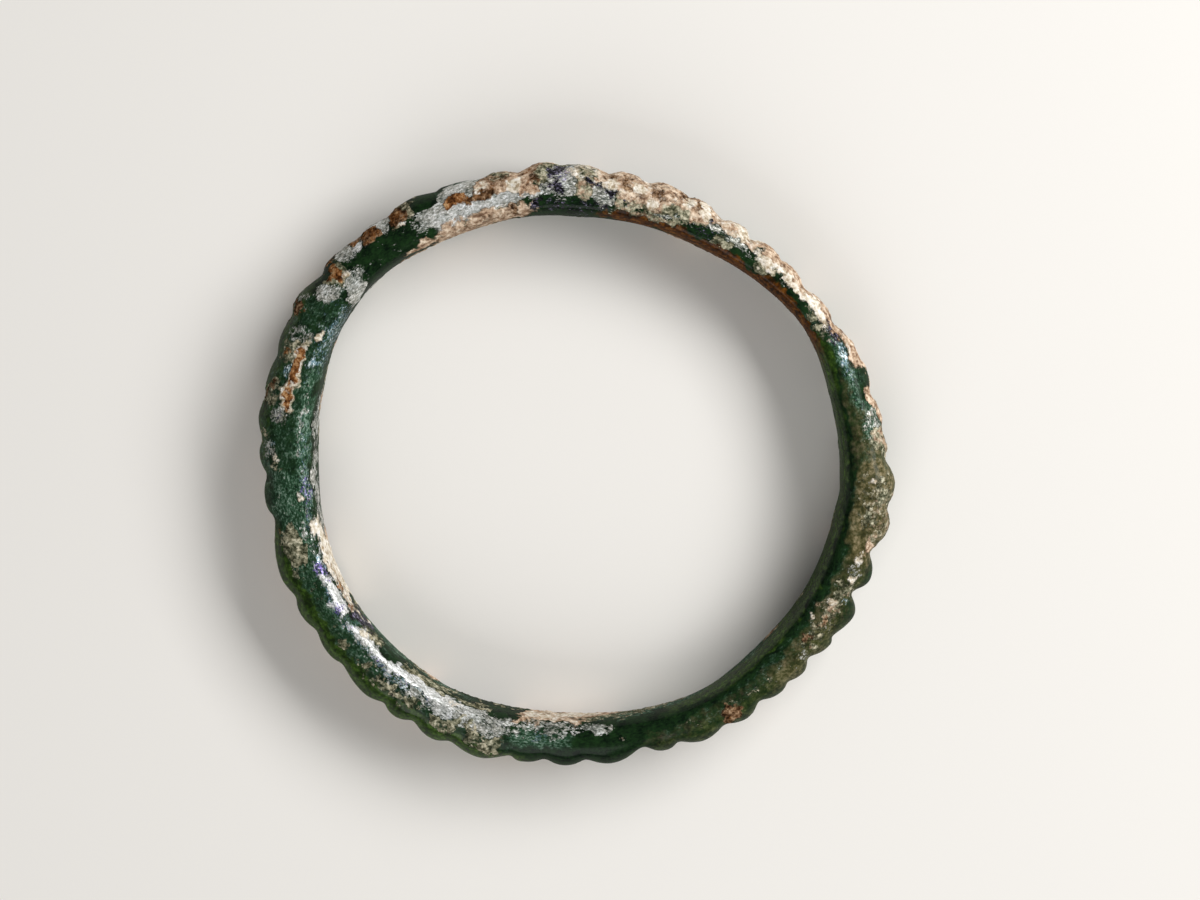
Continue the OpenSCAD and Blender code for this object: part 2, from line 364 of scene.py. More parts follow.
    ("silver_and_sheen", 216, 257, 32.8, 34.5, 0.35),
    ("pearl_and_highlight", 223, 250, 32.8, 33.9, 0.3),
    ("violet", 218, 250, 32.6, 33.9, 0.24),
    ("scale", 228, 232.6, 34.0, 35.2, 0.5),
    ("scale", 232.8, 237.8, 34.0, 35.8, 0.55),
    ("silver_and_sheen", 233.6, 237.6, 33.2, 34.2, 0.5),
    ("pearl_and_highlight", 239.6, 247.6, 31.8, 34.1, 0.5),
    ("lime_and_glints", 242.6, 246.4, 31.7, 32.7, 0.6),
    ("scale", 240.2, 246.4, 33.9, 36.1, 0.65),
    ("silver_and_sheen", 244.6, 257.4, 31.3, 34.3, 0.55),
    ("pearl_and_highlight", 246, 256, 31.4, 33.8, 0.35),
    ("scale", 245.8, 249.4, 33.0, 34.6, 0.5),
    ("scale", 248.2, 256, 34.1, 36.4, 0.65),
    ("scale", 229, 236, 31.15, 31.95, 0.8),
    ("scale", 234.6, 243, 31.05, 31.85, 0.8),
    ("scale", 241.6, 250.4, 30.8, 31.6, 0.8),
    ("scale", 247.4, 250.4, 30.0, 31.2, 0.85),
    ("haze", 226, 248, 30.4, 31.1, 0.35),
    ("lime_and_glints", 234, 236, 30.5, 31.0, 0.5),
    ("bare", 250, 257.2, 30.0, 31.3, 0.9),
    ("lime_and_glints", 249, 257.4, 29.7, 30.0, 0.8),
    ("tan", 255.8, 262, 30.2, 32.3, 0.9),
    ("tan", 256, 275, 29.4, 31.2, 1.15),
    ("lime_and_glints", 256.6, 273.6, 29.4, 31.2, 0.6),
    ("haze", 256, 270, 31.8, 34.6, 0.6),
    ("silver_and_sheen", 256, 275, 31.0, 32.6, 0.5),
    ("silver_and_sheen", 256, 268, 32.0, 33.9, 0.3),
    ("ice_and_sheen", 260.6, 264.4, 32.0, 33.9, 0.3),
    # Bottom and lower right
    # painted green glow at the outer rim
    ("painted_green_glow", 276, 345, 34.6, 38.5, 0.35),
    ("silver_and_sheen", 273.2, 276.5, 31.4, 32.5, 0.8),
    ("silver_and_sheen", 276.8, 278.6, 31.7, 32.4, 0.7),
    ("haze", 274, 304, 29.6, 31.1, 0.8),
    ("haze", 286, 346, 32.8, 35.2, 0.3),
    ("bloom", 284, 318, 33.2, 36.8, 0.2),
    ("bloom", 312, 346, 33.6, 37.6, 0.42),
    ("umber_and_shade", 316, 344, 34.6, 37.0, 0.16),
    ("silver_and_sheen", 296, 344, 33.4, 36.6, 0.12),
    ("scale", 270, 294, 29.6, 31.0, 0.6),
    ("lime_and_glints", 281.8, 283.8, 30.1, 30.7, 0.6),
    ("lime_and_glints", 279.4, 280.4, 33.4, 33.8, 0.6),
    ("scale", 290, 300, 33.2, 35.4, 0.22),
    ("scale", 292.6, 295, 33.3, 34.3, 0.4),
    ("umber_and_shade", 300.3, 304.2, 33.9, 36.3, 0.85),
    ("rust", 301, 303.6, 34.8, 35.9, 0.3),
    ("scale", 302.4, 306.4, 33.4, 35.2, 0.3),
    ("scale", 307.2, 309.4, 34.3, 35.3, 0.5),
    ("scale", 310.8, 312.8, 34.4, 35.4, 0.4),
    ("haze", 304, 330, 30.3, 31.2, 0.5),
    ("scale", 315, 346, 33.8, 36.6, 0.22),
    ("silver_and_sheen", 319.3, 321.2, 34.8, 36.0, 0.35),
    ("scale", 320.6, 337.6, 34.4, 36.4, 0.42),
    ("tan", 325, 337.6, 34.8, 36.5, 0.25),
    ("umber_and_shade", 321.6, 324.2, 34.1, 35.7, 0.6),
    ("umber_and_shade", 326, 329.4, 34.5, 35.5, 0.6),
    ("silver_and_sheen", 324.8, 328.8, 35.3, 36.4, 0.28),
    ("tan", 329, 332.6, 33.4, 35.6, 0.3),
    # the narrow cream marks here are partly painted glints on lit rib flanks
    ("lime_and_glints", 330.9, 332.1, 33.8, 35.5, 0.8),
    ("lime_and_glints", 326.8, 328.2, 33.1, 33.7, 0.7),
    ("bare", 328.4, 334.4, 36.5, 37.7, 0.6),
    ("ice_and_sheen", 331.6, 333.4, 36.0, 36.8, 0.4),
    ("haze", 344, 361.5, 33.2, 38.4, 0.5),
    ("bloom", 340, 361.5, 33.4, 38.4, 0.8),
    ("lime_and_glints", 336.2, 337.5, 35.3, 35.9, 0.95),
    ("silver_and_sheen", 337.2, 340.4, 34.7, 36.5, 0.38),
    ("lime_and_glints", 339.4, 342.4, 34.6, 36.1, 0.5),
    ("bare", 337, 342, 36.6, 37.8, 0.5),
    ("tan", 342.4, 346.4, 35.9, 36.9, 1.1),
    ("rust", 342.6, 344.2, 36.1, 36.9, 0.35),
    ("silver_and_sheen", 344, 361, 34.0, 37.6, 0.16),
    ("scale", 345, 361.5, 33.8, 35.4, 0.3),
    ("scale", 344.6, 356, 35.0, 38.4, 0.45),
    ("scale", 353.6, 361, 35.8, 38.4, 0.35),
    ("tan", 345.6, 355, 35.4, 38.4, 0.3),
    ("lime_and_glints", 355.8, 357.2, 35.3, 36.1, 0.8),
]

# Where the chart is read from: over the middle of the hoop, and a little towards +Y. Its own
# middle is a little off the middle of the hoop's outline.
READING_DISTANCE = 300 * MM
READING_LEAN = math.radians(4.7)
MID_HEIGHT = 4.6 * MM
CHART_MIDDLE = np.array([-0.24, 0.41]) * MM
WALL_OUT = 34  # mm from the hoop's middle to the middle of its wall
EDGE_SOFT = 0.6  # mm over which a patch fades out
PATCH_SQUARE = 3  # where 2 is an oval patch, and more is squarer

places = at_points(hoop.data, "co")
steep = 1 - np.abs(at_points(hoop.data, "normal")[:, 2])
eye = np.array([0, math.sin(READING_LEAN), math.cos(READING_LEAN)]) * READING_DISTANCE
eye[2] += MID_HEIGHT


def as_read(points):
    """The angle in degrees and the distance from the middle in mm at which each point shows."""
    share = (eye[2] - MID_HEIGHT) / (eye[2] - points[:, 2])
    flat = eye[:2] + (points[:, :2] - eye[:2]) * share[:, None] - CHART_MIDDLE
    return np.degrees(np.arctan2(flat[:, 1], flat[:, 0])) % 360, np.hypot(*flat.T) / MM


def smooth(x):
    """A soft step, 0 up to 0 and 1 from 1 on."""
    x = np.clip(x, 0, 1)
    return x * x * (3 - 2 * x)


def cover_from_chart(degrees, out_mm):
    """How much of each finish lies at each place."""
    cover = np.zeros((len(degrees), len(FINISHES)))
    for finish, deg_from, deg_to, mm_from, mm_to, amount in CHART:
        along = (degrees - (deg_from + deg_to) / 2 + 180) % 360 - 180
        half_along = (deg_to - deg_from) / 2
        across = (out_mm - (mm_from + mm_to) / 2) / ((mm_to - mm_from) / 2)
        reach = np.abs(along / half_along) ** PATCH_SQUARE + np.abs(across) ** PATCH_SQUARE
        reach **= 1 / PATCH_SQUARE
        half_width = min(math.radians(half_along) * WALL_OUT, (mm_to - mm_from) / 2)
        laid = amount * smooth((1 - reach) * half_width / EDGE_SOFT + 0.5)
        first_covered = 0 if finish == "bare" else FINISHES.index(finish)
        cover[:, first_covered:] *= 1 - np.minimum(laid, 1)[:, None]
        if finish != "bare":
            cover[:, first_covered] += laid
    return cover


# The patches' edges wander, as flaking does, and down the wall they also stray round the hoop.
# Each row is how far, or how much of it, in lumps of how many mm, and the pattern's seed.
WANDER = [(0.55 * MM, 2.2, 1), (0.50 * MM, 0.7, 2)]
STRAY_LUMPS = [(1.0, 4, 3), (0.5, 1.4, 4)]
STRAY = 5  # degrees on the upright wall
LOW_STRAY = 14  # degrees more, low on it
LOW_BELOW = 6.5 * MM
LOW_FADE = 4 * MM
SEED_SHIFT = (7.3, 3.1, 5.7)  # in lumps, from one seed's pattern to the next
noise.seed_set(1)  # so that the patches come out the same in every run


def ragged(lump_mm, seed):
    """Three smooth random numbers for each point, from about -1 to 1, in lumps of that size."""
    step = 1 / (lump_mm * MM)
    shift = Vector([seed * part for part in SEED_SHIFT])
    return np.array([noise.noise_vector(Vector(p) * step + shift) for p in places])


wander = sum(far * ragged(lump_mm, seed) for far, lump_mm, seed in WANDER)
low_on_wall = smooth((LOW_BELOW - places[:, 2]) / LOW_FADE)
stray = steep**2 * (STRAY + LOW_STRAY * low_on_wall)
stray *= sum(far * ragged(lump_mm, seed)[:, 0] for far, lump_mm, seed in STRAY_LUMPS)


def edges_of(degrees, out_mm):
    """The least and greatest distance from the middle at each whole degree."""
    whole = degrees.astype(int)
    low = np.array([out_mm[whole == d].min() for d in range(360)])
    high = np.array([out_mm[whole == d].max() for d in range(360)])
    return low, high


# The back face has the front's chart, turned some way round. It takes over lower down at the
# wall's inner edge, which shows from the front, than further out.
TURNED = 203  # degrees
SWITCH_LOWEST = 1.3 * MM
SWITCH_RISE = 3.2 * MM
SWITCH_RUN = 5  # mm out from the inner edge, in which the switch rises
SWITCH_FADE = 1.5 * MM

front = as_read(places + wander)
mirrored = places * [1, 1, -1] + [0, 0, 2 * MID_HEIGHT]
back = as_read(mirrored + wander)
low, high = edges_of(*as_read(places))
whole = back[0].astype(int)
share = (back[1] - low[whole]) / (high - low)[whole]
turned = (back[0] + TURNED + stray) % 360
whole = turned.astype(int)
turned_mm = low[whole] + share * (high - low)[whole]
across_wall = np.clip((front[1] - low[front[0].astype(int)]) / SWITCH_RUN, 0, 1)
above_switch = places[:, 2] + wander[:, 0] - (SWITCH_LOWEST + SWITCH_RISE * across_wall)
in_front = smooth(above_switch / SWITCH_FADE + 0.5)[:, None]
cover = in_front * cover_from_chart(front[0] + stray, front[1])
cover += (1 - in_front) * cover_from_chart(turned, turned_mm)

# Low on the walls, where the photograph doesn't look, the same crusts and films lie in loose
# patches: the size of their lumps in mm, the most that they cover, and how far they fill the
# space between lumps, where a minus leaves it bare
LOOSE = {"haze": (6, 0.5, 0.2), "scale": (3.5, 0.6, -0.3), "tan": (4.5, 0.9, -0.5)}
LOOSE_CONTRAST = 2.5
LOOSE_FIRST_SEED = 11
LOOSE_BELOW = 5.5 * MM
LOOSE_FADE = 2.5 * MM
LOOSE_STEEP = 0.5  # they are full where the wall is at least half upright

low_down = smooth((LOOSE_BELOW - places[:, 2]) / LOOSE_FADE) * smooth(steep / LOOSE_STEEP)
for seed, (finish, (lump_mm, most, full)) in enumerate(LOOSE.items(), LOOSE_FIRST_SEED):
    laid = smooth(full + LOOSE_CONTRAST * ragged(lump_mm, seed)[:, 0])
    cover[:, FINISHES.index(finish)] += most * low_down * laid


def keep_at_points(name, values):
    """Stores one number for each point of the hoop, for its material to read."""
    layer = hoop.data.attributes.new(name, "FLOAT", "POINT")
    layer.data.foreach_set("value", values.astype(np.float32))


for finish, column in zip(FINISHES, cover.T):
    keep_at_points(finish, column)

# Relief of the skin
# The crusts keep the glass's first surface, lumpy and pitted. Where they have flaked away the
# bare glass lies a little lower, still smooth, and under a film it lies half as low.
CRUSTS = ["lime_and_glints", "tan", "scale", "umber_and_shade", "rust"]
FILMS = ["silver_and_sheen", "pearl_and_highlight"]
FILM_KEEPS = 0.5
FLAKE_STEP = 0.06 * MM
LUMPS = {"size": 0.8 * MM, "depth": 0.30 * MM}
PITS = {"size": 0.45 * MM, "depth": 0.13 * MM}
WAVES = {"size": 7 * MM, "depth": 0.16 * MM}
FINER_LAYERS = 3
LEAST_WEIGHT = 0.01


def covered_by(names):
    """How much of the glass these finishes cover at each point."""
    return np.clip(cover[:, [FINISHES.index(name) for name in names]].sum(axis=1), 0, 1)


def group_of(name, weights):
    """A group of points that a tool works on, each as far as its weight says."""
    group = hoop.vertex_groups.new(name=name)
    for i, weight in enumerate(weights):
        if weight > LEAST_WEIGHT:
            group.add([i], float(weight), "REPLACE")
    return group.name


crusted = covered_by(CRUSTS)
crust_group = group_of("crusted", crusted)
kept = np.clip(crusted + FILM_KEEPS * covered_by(FILMS), 0, 1)
flaked_group = group_of("flaked", 1 - kept)


def emboss(name, kind, size, depth, group=""):
    """Works a pattern of that size into the skin, half its depth outwards and half inwards."""
    pattern = bpy.data.textures.new(name, kind)
    pattern.noise_scale = size
    if kind == "CLOUDS":
        pattern.noise_depth = FINER_LAYERS
    press = hoop.modifiers.new(name, "DISPLACE")
    press.texture = pattern
    press.texture_coords = "LOCAL"
    press.mid_level = 0.5
    press.strength = depth
    press.vertex_group = group
    bpy.ops.object.modifier_apply(modifier=press.name)


emboss("hand_waves", "CLOUDS", **WAVES)
sunk = hoop.modifiers.new("flaked_step", "DISPLACE")
sunk.mid_level = 0
sunk.strength = -FLAKE_STEP
sunk.vertex_group = flaked_group
bpy.ops.object.modifier_apply(modifier=sunk.name)
emboss("crust_lumps", "CLOUDS", **LUMPS, group=crust_group)
emboss("crust_pits", "VORONOI", **PITS, group=crust_group)
hoop.vertex_groups.clear()
places = at_points(hoop.data, "co")
places[:, 2] = np.maximum(places[:, 2], 0)  # its foot stands on the floor and not in it
hoop.data.vertices.foreach_set("co", places.ravel())

# The map that the skin is baked on: the hoop is cut at its foot and laid out as three strips
STRIPS = 3
STRIP_DEG = 360 / STRIPS
GAP_ALONG = 0.006  # of a strip's length, left free at each end
GAP_ACROSS = GAP_ALONG * STRIPS  # of its width, so that all gaps are equally wide

mesh = hoop.data
corner_vertex = np.empty(len(mesh.loops), dtype=np.int32)
mesh.loops.foreach_get("vertex_index", corner_vertex)
corners = corner_vertex.reshape(-1, 4)


def on_one_side(degrees):
    """Each face's four corners, all on one side of the cut, with their middle from 0 to 360."""
    first = degrees[corners[:, :1]]
    four = first + (degrees[corners] - first + 180) % 360 - 180
    return four - 360 * np.floor(four.mean(axis=1) / 360)[:, None]


reach = np.hypot(places[:, 0], places[:, 1])
round_deg = np.degrees(np.arctan2(places[:, 1], places[:, 0])) % 360
whole = round_deg.astype(int)
low, high = edges_of(round_deg, reach)
half_wall = (high - low)[whole] / 2
out = (reach - low[whole] - half_wall) / half_wall
up = 2 * places[:, 2] / places[:, 2].max() - 1
along = on_one_side(round_deg)
around = on_one_side(np.degrees(np.arctan2(out, up)) + 180)
strip = (along.mean(axis=1) // STRIP_DEG)[:, None]
u = GAP_ALONG + (along / STRIP_DEG - strip) * (1 - 2 * GAP_ALONG)
v = (strip + GAP_ACROSS + around / 360 * (1 - 2 * GAP_ACROSS)) / STRIPS
bake_map = mesh.uv_layers.new(name="OFBake")
bake_map.data.foreach_set("uv", np.stack([u, v], axis=2).ravel())

# Weathered glass
# Soda-lime glass, green from iron and copper, fire-polished and then weathered in the ground.
# Bare, it is deep, wet-looking and dark, and lets in little light; its green glow where it is
# thin is painted on by the leaf and amber finishes. The films over it are pearly, and the
# crusts are as dull as chalk, with dirt and painted shade in their hollows.
HOLLOW_SPREADS = 10  # each takes in the next ring of points, so this sees about 1 mm round
HOLLOW_FROM = -0.03 * MM  # below its surroundings, where a point begins to take dirt and painted shade
HOLLOW_TO = 0.08 * MM  # where it holds all it can

edge_ends = np.empty(len(mesh.edges) * 2, dtype=np.int32)
mesh.edges.foreach_get("vertices", edge_ends)
ends = edge_ends.reshape(-1, 2).T
neighbours = np.bincount(edge_ends)[:, None]
evened = places
for _ in range(HOLLOW_SPREADS):
    total = np.zeros_like(evened)
    np.add.at(total, ends[0], evened[ends[1]])
    np.add.at(total, ends[1], evened[ends[0]])
    evened = total / neighbours
below = ((evened - places) * at_points(mesh, "normal")).sum(axis=1)
keep_at_points("hollow", smooth((below - HOLLOW_FROM) / (HOLLOW_TO - HOLLOW_FROM)))

# The rod was drawn out while hot, so its films part in streaks that run round the hoop. They
# are laid out on a shorter hoop, on which a streak is only as long as it is wide.
DRAWN_OUT = 1.8
mid_reach = WALL_OUT * MM
shorter = places.copy()
shorter[:, :2] *= ((mid_reach / DRAWN_OUT + reach - mid_reach) / reach)[:, None]
layer = mesh.attributes.new("streaked", "FLOAT_VECTOR", "POINT")
layer.data.foreach_set("vector", shorter.ravel().astype(np.float32))


def colour(code):
    """An sRGB hex colour as linear red, green, blue and alpha."""
    parts = [int(code[i : i + 2], 16) / 255 for i in (1, 3, 5)]
    return [p / 12.92 if p <= 0.04045 else ((p + 0.055) / 1.055) ** 2.4 for p in parts] + [1]


glass = bpy.data.materials.new("weathered_green_glass")
glass.use_nodes = True
tree = glass.node_tree
tree.nodes.clear()


def add(kind, inputs=None, **settings):
    """Adds a node, with its settings and with a value or a link for each named input."""
    node = tree.nodes.new("ShaderNode" + kind)
    for name, value in settings.items():
        setattr(node, name, value)
    for name, value in (inputs or {}).items():
        if isinstance(value, bpy.types.NodeSocket):
            tree.links.new(value, node.inputs[name])
        else:
            node.inputs[name].default_value = value
    return node


GLASS_TINTS = ["#08150b", "#1b3318"]
GLASS_CLEAR = 0.05  # of the light, let in
GLASS_ROUGHNESS = [0.24, 0.40]  # where it is polished, and where the ground has dulled it
GLASS_GLOSS = 0.12
GLOSS_ROUGHNESS = 0.15
GLASS_IOR = 1.52
GLASS_DEPTH_COLOUR = "#7cce8c"
GLASS_DENSITY = 150
GLASS_GRAIN = 0.004  # mm
# the dirt's colours, which also paint shade into the hollows
DIRT_AND_SHADE = ["#20150c", "#4e3a26"]
STAIN = ["#b98f63", "#ffffff"]  # where it is stained, and where it is clean
STAIN_SHARE = 0.6  # how strongly the stain shows in a finish that is all dirt
# Each finish's colours from dark to light, and where in its pattern of tones each one lies
TONES = {
    # leaf and amber are a painted glow of light through thin glass
    "painted_green_glow": ["#18260b", "#243910", "#334a17", "#466224"],
    "painted_amber_glow": ["#271505", "#40230a", "#58330f", "#74491a"],
    "haze": ["#14261a", "#243f2b", "#3a5944", "#768d7d"],
    "bloom": ["#34331b", "#4c482b", "#6a6144", "#8e8163"],
    "ice_and_sheen": ["#3a5765", "#688896", "#a2b8be", "#ecf3f5"],
    # silver and pearl are in places painted sheen and highlight
    "silver_and_sheen": ["#4d534e", "#83877f", "#acaea6", "#ecefee"],
    "pearl_and_highlight": ["#888a87", "#b6b8b4", "#d6d8d6", "#f9fafc"],
    "scale": ["#2f3324", "#5f604c", "#8f8d76", "#cbc6ae"],
    "tan": ["#735b49", "#a68d75", "#c8b199", "#e7d6c0"],
    # lime is in places painted glints, and umber painted shade on rib flanks
    "lime_and_glints": ["#a3937a", "#d3c9b5", "#e7e1d4", "#f6f4ee"],
    "umber_and_shade": ["#24170d", "#4a3523", "#755a42", "#a88d70"],
    "rust": ["#3a2110", "#6a4527", "#906139", "#c09c72"],
    "violet": ["#261f4c", "#554590", "#9480cd", "#efe9ff"],
    "ink": ["#060608", "#131416", "#2b2a31", "#7d7890"],
}
TONE_PLACES = [0.34, 0.45, 0.56, 0.68]
TONE_SWING = 0.45  # how far the tones swing in broad clouds
# Each row is one finish: whether its flakes and mottling are small (0) or large (1), how much
# it holds together in clumps, how much its flakes differ in tone, how softly it ends, how much
# light it lets in, its roughness, how metallic its pearl is, how much gloss it keeps, how thick
# it is in mm, and how much dirt it holds, which also paints shade into its hollows
SKIN = {
    # leaf and amber are a painted glow of light through thin glass
    "painted_green_glow": (1, 0.8, 0.05, 0.6, 0.08, 0.26, 0.0, 0.22, 0.01, 0.0),
    "painted_amber_glow": (1, 0.8, 0.05, 0.6, 0.05, 0.30, 0.0, 0.12, 0.01, 0.0),
    "haze": (0, 0.8, 0.15, 0.5, 0.03, 0.34, 0.0, 0.14, 0.02, 0.1),
    "bloom": (1, 0.8, 0.08, 0.8, 0.03, 0.38, 0.0, 0.14, 0.01, 0.1),
    "ice_and_sheen": (0, 0.4, 0.20, 0.3, 0.0, 0.32, 0.2, 0.25, 0.02, 0.0),
    "silver_and_sheen": (0, 0.55, 0.20, 0.15, 0.0, 0.34, 0.25, 0.25, 0.03, 0.3),
    "pearl_and_highlight": (0, 0.5, 0.16, 0.25, 0.0, 0.34, 0.20, 0.30, 0.03, 0.15),
    "scale": (1, 0.7, 0.16, 0.14, 0.0, 0.60, 0.0, 0.04, 0.08, 0.35),
    "tan": (1, 0.7, 0.14, 0.3, 0.0, 0.62, 0.0, 0.03, 0.12, 0.4),
    "lime_and_glints": (1, 0.6, 0.12, 0.3, 0.0, 0.58, 0.0, 0.05, 0.12, 0.3),
    "umber_and_shade": (1, 0.6, 0.16, 0.3, 0.0, 0.72, 0.0, 0.0, 0.08, 0.4),
    "rust": (1, 0.6, 0.16, 0.3, 0.0, 0.70, 0.0, 0.0, 0.10, 0.4),
    "violet": (0, 0.3, 0.30, 0.3, 0.0, 0.28, 0.40, 0.30, 0.02, 0.1),
    "ink": (0, 0.5, 0.20, 0.2, 0.0, 0.28, 0.1, 0.20, 0.02, 0.2),
}

where = add("TexCoord").outputs["Object"]
streaked = add("Attribute", attribute_name="streaked").outputs["Vector"]

# Cloudy patterns: the size of their lumps in mm, how many finer layers they have, and what
# they are laid out on. Real mottling and flakes go down to a hundredth of a millimetre, too
# fine to show, so both are drawn as coarse as the sizes here.
CLOUDS = {
    "fine": (0.22, 2, where),
    "broad": (1.5, 3, where),
    "clumps": (0.9, 3, where),
    "small mottling": (0.22, 3, streaked),
    "large mottling": (0.60, 3, where),
}
CLOUD_ROUGHNESS = 0.65
FLAKES = [(0.12, streaked), (0.26, where)]  # mm, the two sizes that flakes break off in
STIR = 0.16 * MM

clouds = {}
for name, (size_mm, layers, at) in CLOUDS.items():
    sizes = {"Scale": 1 / (size_mm * MM), "Detail": layers, "Roughness": CLOUD_ROUGHNESS}
    lumps = add("TexNoise", {"Vector": at, **sizes}).outputs["Color"]
    clouds[name] = add("SeparateColor", {"Color": lumps}).outputs
fine, fine_2, fine_3 = clouds["fine"]
dulled, broad, stains = clouds["broad"]
mottles = clouds["small mottling"], clouds["large mottling"]
# Flakes have uneven edges, so the places that they are drawn at are first stirred a little
stir = add("CombineXYZ", {0: fine, 1: fine_2, 2: fine_3}).outputs[0]
flakes = []
for size_mm, at in FLAKES:
    stirred = add("VectorMath", {0: stir, 1: (STIR,) * 3, 2: at}, operation="MULTIPLY_ADD").outputs[0]
    cells = add("TexVoronoi", {"Vector": stirred, "Scale": 1 / (size_mm * MM)}).outputs["Color"]
    flakes.append(add("SeparateColor", {"Color": cells}).outputs)

# Between which values of a cloudy pattern each change comes in
STAINED = {"From Min": 0.42, "From Max": 0.6}
CLOUDED = {"From Min": 0.8, "From Max": 1.2}
DULLED = {"From Min": 0.35, "From Max": 0.7}
CLUMPED = {"From Min": 0.3, "From Max": 0.7}

hollows = add("Attribute", attribute_name="hollow").outputs["Fac"]
shades = {"Color1": colour(DIRT_AND_SHADE[0]), "Color2": colour(DIRT_AND_SHADE[1])}
# the dirt colour, which also paints shade into the hollows
dirt_and_shade_colour = add("MixRGB", {"Fac": fine, **shades}).outputs[0]
swing = add("MapRange", {"Value": broad, "To Min": -0.5, "To Max": 0.5}).outputs[0]
unstained = add("MapRange", {"Value": stains, **STAINED}).outputs[0]
shades = {"Color1": colour(STAIN[0]), "Color2": colour(STAIN[1])}
stain = add("MixRGB", {"Fac": unstained, **shades}).outputs[0]
cloudy = add("Math", {0: dulled, 1: mottles[0][0]}, operation="ADD").outputs[0]
clouded = add("MapRange", {"Value": cloudy, **CLOUDED}).outputs[0]
shades = {"Color1": colour(GLASS_TINTS[0]), "Color2": colour(GLASS_TINTS[1])}
skin_colour = add("MixRGB", {"Fac": clouded, **shades}).outputs[0]
worn = add("MapRange", {"Value": dulled, **DULLED}).outputs[0]
between = {"To Min": GLASS_ROUGHNESS[0], "To Max": GLASS_ROUGHNESS[1]}
surface = {
    "Roughness": add("MapRange", {"Value": worn, **between}).outputs[0],
    "Transmission Weight": GLASS_CLEAR,
    "Coat Weight": GLASS_GLOSS,
    "Metallic": 0.0,
}
height = add("Math", {0: fine, 1: GLASS_GRAIN}, operation="MULTIPLY").outputs[0]

# The finishes are laid on one after another, each breaking off along its own flakes
for order, finish in enumerate(FINISHES):
    large, clumped, grainy, soft, lets_in, rough, pearl_and_highlight, shine, thick, dirt_and_shade_held = SKIN[finish]
    amount = add("Attribute", attribute_name=finish).outputs["Fac"]
    flake = flakes[large][order % 3]
    clump = add("MapRange", {"Value": clouds["clumps"][(order + 1) % 3], **CLUMPED}).outputs[0]
    chip = add("MapRange", {"Value": clumped, "To Min": flake, "To Max": clump}).outputs[0]
    between = {"To Min": soft / 2, "To Max": 1 - soft / 2}
    bar = add("MapRange", {"Value": chip, **between}).outputs[0]
    above = add("Math", {0: amount, 1: bar}, operation="SUBTRACT").outputs[0]
    mask = add("MapRange", {"Value": above, "From Min": -soft / 2, "From Max": soft / 2}).outputs[0]
    between = {"To Min": -grainy / 2, "To Max": grainy / 2}
    grain = add("MapRange", {"Value": flakes[large][(order + 1) % 3], **between}).outputs[0]
    mottle = add("Math", {0: mottles[large][order % 3], 1: grain}, operation="ADD").outputs[0]
    tone = add("Math", {0: swing, 1: TONE_SWING, 2: mottle}, operation="MULTIPLY_ADD").outputs[0]
    ramp = add("ValToRGB", {"Fac": tone})
    stops = ramp.color_ramp.elements
    stops[0].position, stops[1].position = TONE_PLACES[0], TONE_PLACES[3]
    stops[0].color, stops[1].color = colour(TONES[finish][0]), colour(TONES[finish][3])
    for place, code in zip(TONE_PLACES[1:3], TONES[finish][1:3]):
        stops.new(place).color = colour(code)
    tint = ramp.outputs[0]
    if dirt_and_shade_held:
        stained = {"Fac": STAIN_SHARE * dirt_and_shade_held, "Color1": tint, "Color2": stain}
        tint = add("MixRGB", stained, blend_type="MULTIPLY").outputs[0]
        # dirt in the hollows, which also paints their shade
        dirt_and_shade_in_hollows = add("Math", {0: hollows, 1: dirt_and_shade_held}, operation="MULTIPLY").outputs[0]
        tint = add("MixRGB", {"Fac": dirt_and_shade_in_hollows, "Color1": tint, "Color2": dirt_and_shade_colour}).outputs[0]
    skin_colour = add("MixRGB", {"Fac": mask, "Color1": skin_colour, "Color2": tint}).outputs[0]
    for socket, number in zip(surface, (rough, lets_in, shine, pearl_and_highlight)):
        between = {"To Min": surface[socket], "To Max": number}
        surface[socket] = add("MapRange", {"Value": mask, **between}).outputs[0]
    crumb = add("Math", {0: mottle, 1: thick, 2: thick}, operation="MULTIPLY_ADD").outputs[0]
    height = add("MapRange", {"Value": mask, "To Min": height, "To Max": crumb}).outputs[0]

bump = add("Bump", {"Height": height, "Strength": 1.0, "Distance": MM}).outputs[0]
body = add("BsdfPrincipled", {
    **surface, "Base Color": skin_colour, "Normal": bump, "IOR": GLASS_IOR,
    "Specular IOR Level": 0.0, "Coat Roughness": GLOSS_ROUGHNESS, "Coat Normal": bump,
})
in_depth = {"Color": colour(GLASS_DEPTH_COLOUR), "Density": GLASS_DENSITY}
depth = add("VolumeAbsorption", in_depth)
add("OutputMaterial", {"Surface": body.outputs[0], "Volume": depth.outputs[0]})

mesh.materials.clear()
mesh.materials.append(glass)
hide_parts("bangle")
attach(hoop, "root")

# The studio
# A plain pale floor under the hoop, one long soft light from the picture's upper right, a
# weaker square one from its lower side, and a dim room all round
FLOOR_SIZE = 4  # m
FLOOR_COLOUR = "#e9e6e1"
FLOOR_ROUGHNESS = 0.9
FLOOR_GLOSS = 0.2
ROOM_COLOUR = "#f4f3f1"
ROOM_STRENGTH = 0.2

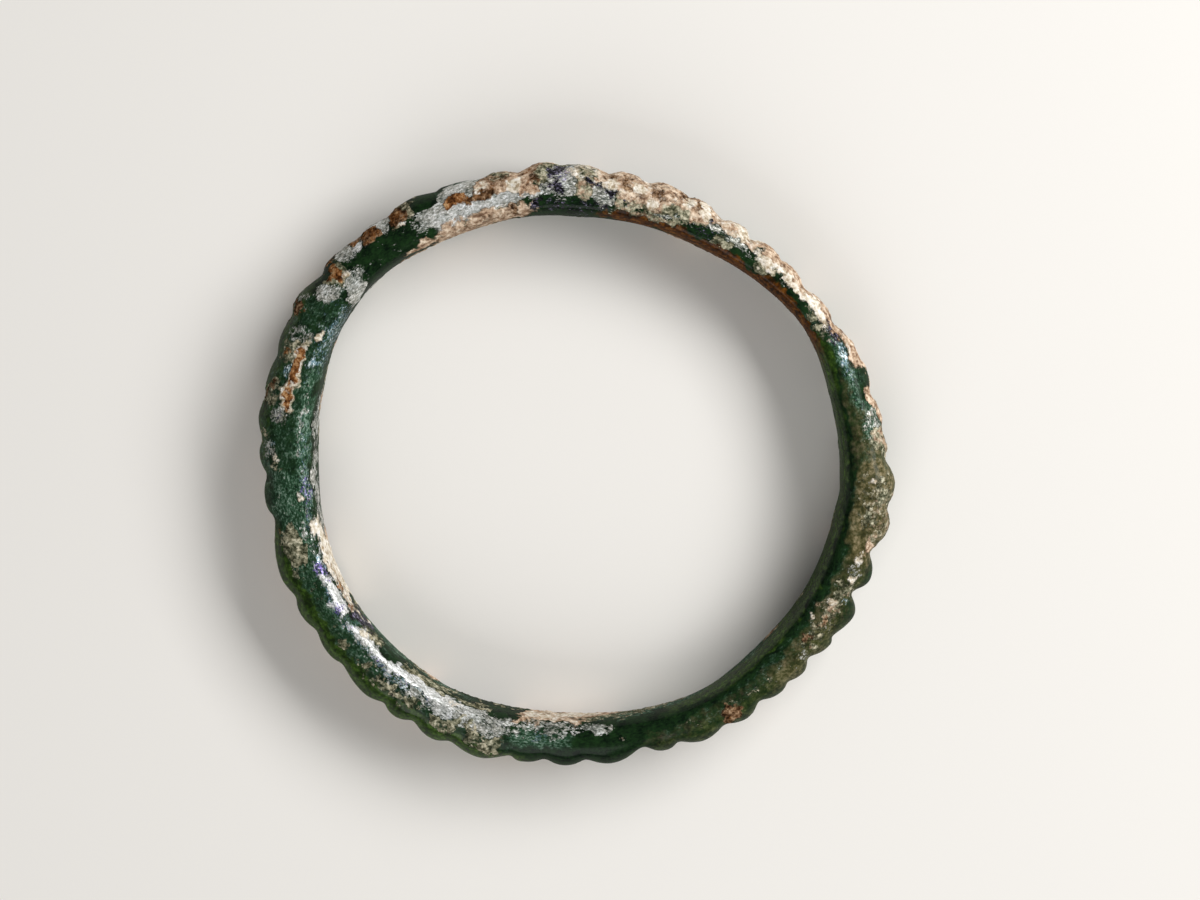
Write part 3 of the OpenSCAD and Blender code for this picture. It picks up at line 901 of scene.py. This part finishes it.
bpy.ops.mesh.primitive_plane_add(size=FLOOR_SIZE, location=(0, 0, 0))
floor = bpy.context.object
floor.name = "floor"
paint = bpy.data.materials.new("matt_pale_paint")
paint.use_nodes = True
matt = paint.node_tree.nodes["Principled BSDF"]
matt.inputs["Base Color"].default_value = colour(FLOOR_COLOUR)
matt.inputs["Roughness"].default_value = FLOOR_ROUGHNESS
matt.inputs["Specular IOR Level"].default_value = FLOOR_GLOSS
floor.data.materials.append(paint)

room = bpy.data.worlds.new("room")
room.use_nodes = True
room.node_tree.nodes["Background"].inputs["Color"].default_value = colour(ROOM_COLOUR)
room.node_tree.nodes["Background"].inputs["Strength"].default_value = ROOM_STRENGTH
scene.world = room
scene.view_settings.view_transform = "Standard"


def soft_light(name, place, size, watts):
    """A panel of light of that width and height, facing the hoop."""
    panel = bpy.data.lights.new(name, "AREA")
    panel.energy = watts
    panel.shape = "RECTANGLE"
    panel.size, panel.size_y = size
    holder = bpy.data.objects.new(name, panel)
    holder.location = place
    holder.rotation_euler = (-Vector(place)).to_track_quat("-Z", "Y").to_euler()
    scene.collection.objects.link(holder)


soft_light("key", (0.46, 0.26, 0.40), (0.7, 0.25), 5.6)
soft_light("fill", (-0.15, -0.60, 0.42), (0.5, 0.5), 2.6)

# The camera looks down the hoop's axis, as a camera in front of the standing hoop does
PICTURE_WIDTH = 1200
PX_PER_M = 8453
RIGHT_OF_HOOP = 23 / PX_PER_M  # how far the picture's middle is from the hoop's
ABOVE_HOOP = 16.5 / PX_PER_M
SENSOR_WIDTH = 36  # mm
NEAREST = 0.01

cam_data = bpy.data.cameras.new("camera")
cam = bpy.data.objects.new("camera", cam_data)
scene.collection.objects.link(cam)
back_way = Vector((0, math.sin(READING_LEAN), math.cos(READING_LEAN)))
up_way = Vector((0, math.cos(READING_LEAN), -math.sin(READING_LEAN)))
right_way = Vector((1, 0, 0))
target = Vector((0, 0, MID_HEIGHT)) + right_way * RIGHT_OF_HOOP + up_way * ABOVE_HOOP
facing = Matrix((right_way, up_way, back_way)).transposed().to_4x4()
facing.translation = target + back_way * READING_DISTANCE
cam.matrix_world = facing
cam_data.sensor_width = SENSOR_WIDTH
cam_data.lens = SENSOR_WIDTH * READING_DISTANCE * PX_PER_M / PICTURE_WIDTH
cam_data.clip_start = NEAREST
scene.camera = cam
